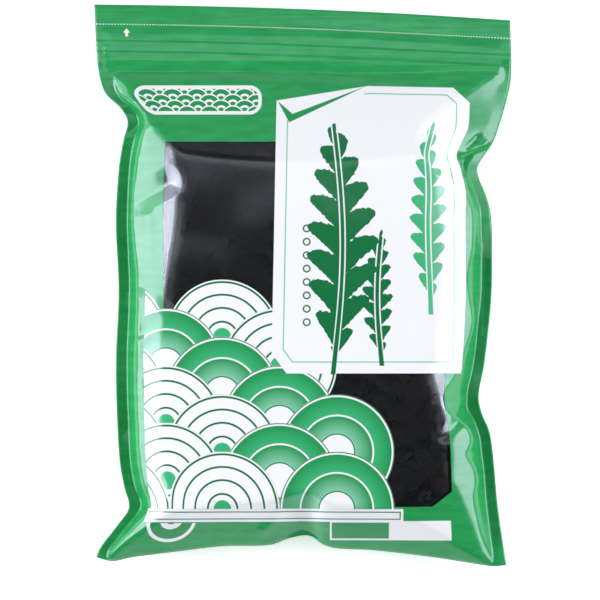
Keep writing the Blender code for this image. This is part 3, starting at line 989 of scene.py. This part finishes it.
def wakame_material():
    """Near black dried leaf with green, brown and slate in it."""
    material, bench = new_material("wakame")
    place = bench.node("ShaderNodeTexCoord", output=3)
    broad = bench.noise(place, 28, 2.0)
    fine = bench.noise(place, 260, 3.0)
    colour = bench.node("ShaderNodeValToRGB", {"stops": LEAF_STOPS}, {0: broad})
    colour = bench.colour_mix((fine * 1.6 - 0.5).clamped(), colour, (0.008, 0.010, 0.013))
    bump = bench.node("ShaderNodeBump", {}, {"Strength": 0.6, "Distance": 0.6 * MM, "Height": fine})
    values = {"Base Color": colour, "Roughness": 0.5, "Normal": bump}
    leaf = bench.node("ShaderNodeBsdfPrincipled", {}, values)
    bench.node("ShaderNodeOutputMaterial", {}, {0: leaf})
    return material


wakame = wakame_material()
for mesh in (wakame_core(), wakame_scraps()):
    mesh.materials.append(wakame)
    piece = bpy.data.objects.new(mesh.name, mesh)
    bpy.context.scene.collection.objects.link(piece)
    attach(piece, "root")
    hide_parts("wakame_heap")
    print(piece.name, len(mesh.polygons), "faces")

# %% [markdown]
# ## Table
#
# The photograph's ground is pure white. A pale matt table that glows a little gives that
# without lamps so strong that they would wash out the green.

# %% Table
TABLE_WIDTH = 6.0
TABLE_GLOW = 0.42


def table_material():
    """Matt white that glows a little."""
    material, bench = new_material("table_white")
    values = {"Base Color": (0.9, 0.9, 0.9), "Roughness": 0.9}
    values |= {"Emission Color": (1, 1, 1), "Emission Strength": TABLE_GLOW}
    surface = bench.node("ShaderNodeBsdfPrincipled", {}, values)
    bench.node("ShaderNodeOutputMaterial", {}, {0: surface})
    return material


bpy.ops.mesh.primitive_plane_add(size=TABLE_WIDTH, location=(0, 0, -0.5 * MM))
table = bpy.context.object
table.name = "table"
table.data.materials.append(table_material())
print("table is", TABLE_WIDTH, "m wide")

# %% [markdown]
# ## Lamps
#
# What shows on glossy film is mostly what it mirrors. On each side a softbox stands where the
# side facets mirror it to the camera, which gives the broad pale strips. A wider and weaker
# diffuser behind it fills the glare around them, so that their edges aren't cut out.

# %% Lamps
LAMP_COLOUR = (0.95, 0.96, 1.0)
LAMPS = (("left", -1, 8.6), ("right", 1, 6.9))
DIFFUSER_SHARE = 0.75


def softbox(name, place, aim, size, power):
    """A rectangular lamp that faces a point."""
    lamp = bpy.data.lights.new(name, "AREA")
    lamp.shape = "RECTANGLE"
    lamp.size, lamp.size_y = size
    lamp.energy = power
    lamp.color = LAMP_COLOUR
    holder = bpy.data.objects.new(name, lamp)
    holder.location = place
    holder.rotation_euler = (Vector(aim) - Vector(place)).to_track_quat("-Z", "Y").to_euler()
    bpy.context.scene.collection.objects.link(holder)


for name, side, power in LAMPS:
    softbox(name + "_softbox", (side, -0.11, 0.51), (0, -0.05, 0.03), (0.8, 0.48), power)
    weaker = power * DIFFUSER_SHARE
    softbox(name + "_diffuser", (side * 1.05, -0.02, 0.56), (0, 0, 0.03), (1.2, 0.75), weaker)
    print(name, "lamps:", power, "and", round(weaker, 2), "W")

# %% [markdown]
# ## Sky
#
# The faces that lean to the header mirror the sky past the top of the pouch. A ramp along
# that direction gives it bright and dark bands: each stop is (direction, grey), where a
# direction of 0 is straight up and 1 is level. The other half of the sky is nearly dark.

# %% Sky and view
SKY = (
    (0.065, 0.07), (0.10, 1.1), (0.2, 1.6), (0.32, 1.3), (0.44, 0.25), (0.68, 0.12), (0.77, 0.45),
    (0.87, 0.12), (0.98, 0.8),
)
world = bpy.data.worlds.new("studio")
sky = Workbench(world)
towards = sky.node("ShaderNodeTexCoord")
to_header = sky.node("ShaderNodeSeparateXYZ", {}, {0: towards}, 1)
bands = [(at, (grey,) * 3) for at, grey in SKY]
panel = sky.node("ShaderNodeValToRGB", {"stops": bands}, {0: to_header})
glow = sky.node("ShaderNodeBackground", {}, {0: (0.96, 0.98, 1.0), 1: panel})
sky.node("ShaderNodeOutputWorld", {}, {0: glow})
bpy.context.scene.world = world
bpy.context.scene.view_settings.view_transform = "Standard"
print(len(SKY), "bands in the sky")

# %% [markdown]
# ## Camera
#
# The pouch was photographed from straight above. A long lens from far away keeps the
# perspective as weak as in the photograph.

# %% Camera
CAMERA_PLACE = (-1.3 * MM, -7.9 * MM, 2.52)
LENS, SENSOR = 284.3, 36

camera_data = bpy.data.cameras.new("camera")
camera_data.lens = LENS
camera_data.sensor_width = SENSOR
camera = bpy.data.objects.new("camera", camera_data)
camera.location = CAMERA_PLACE
bpy.context.scene.collection.objects.link(camera)
bpy.context.scene.camera = camera
print("camera is", CAMERA_PLACE[2], "m above the table")
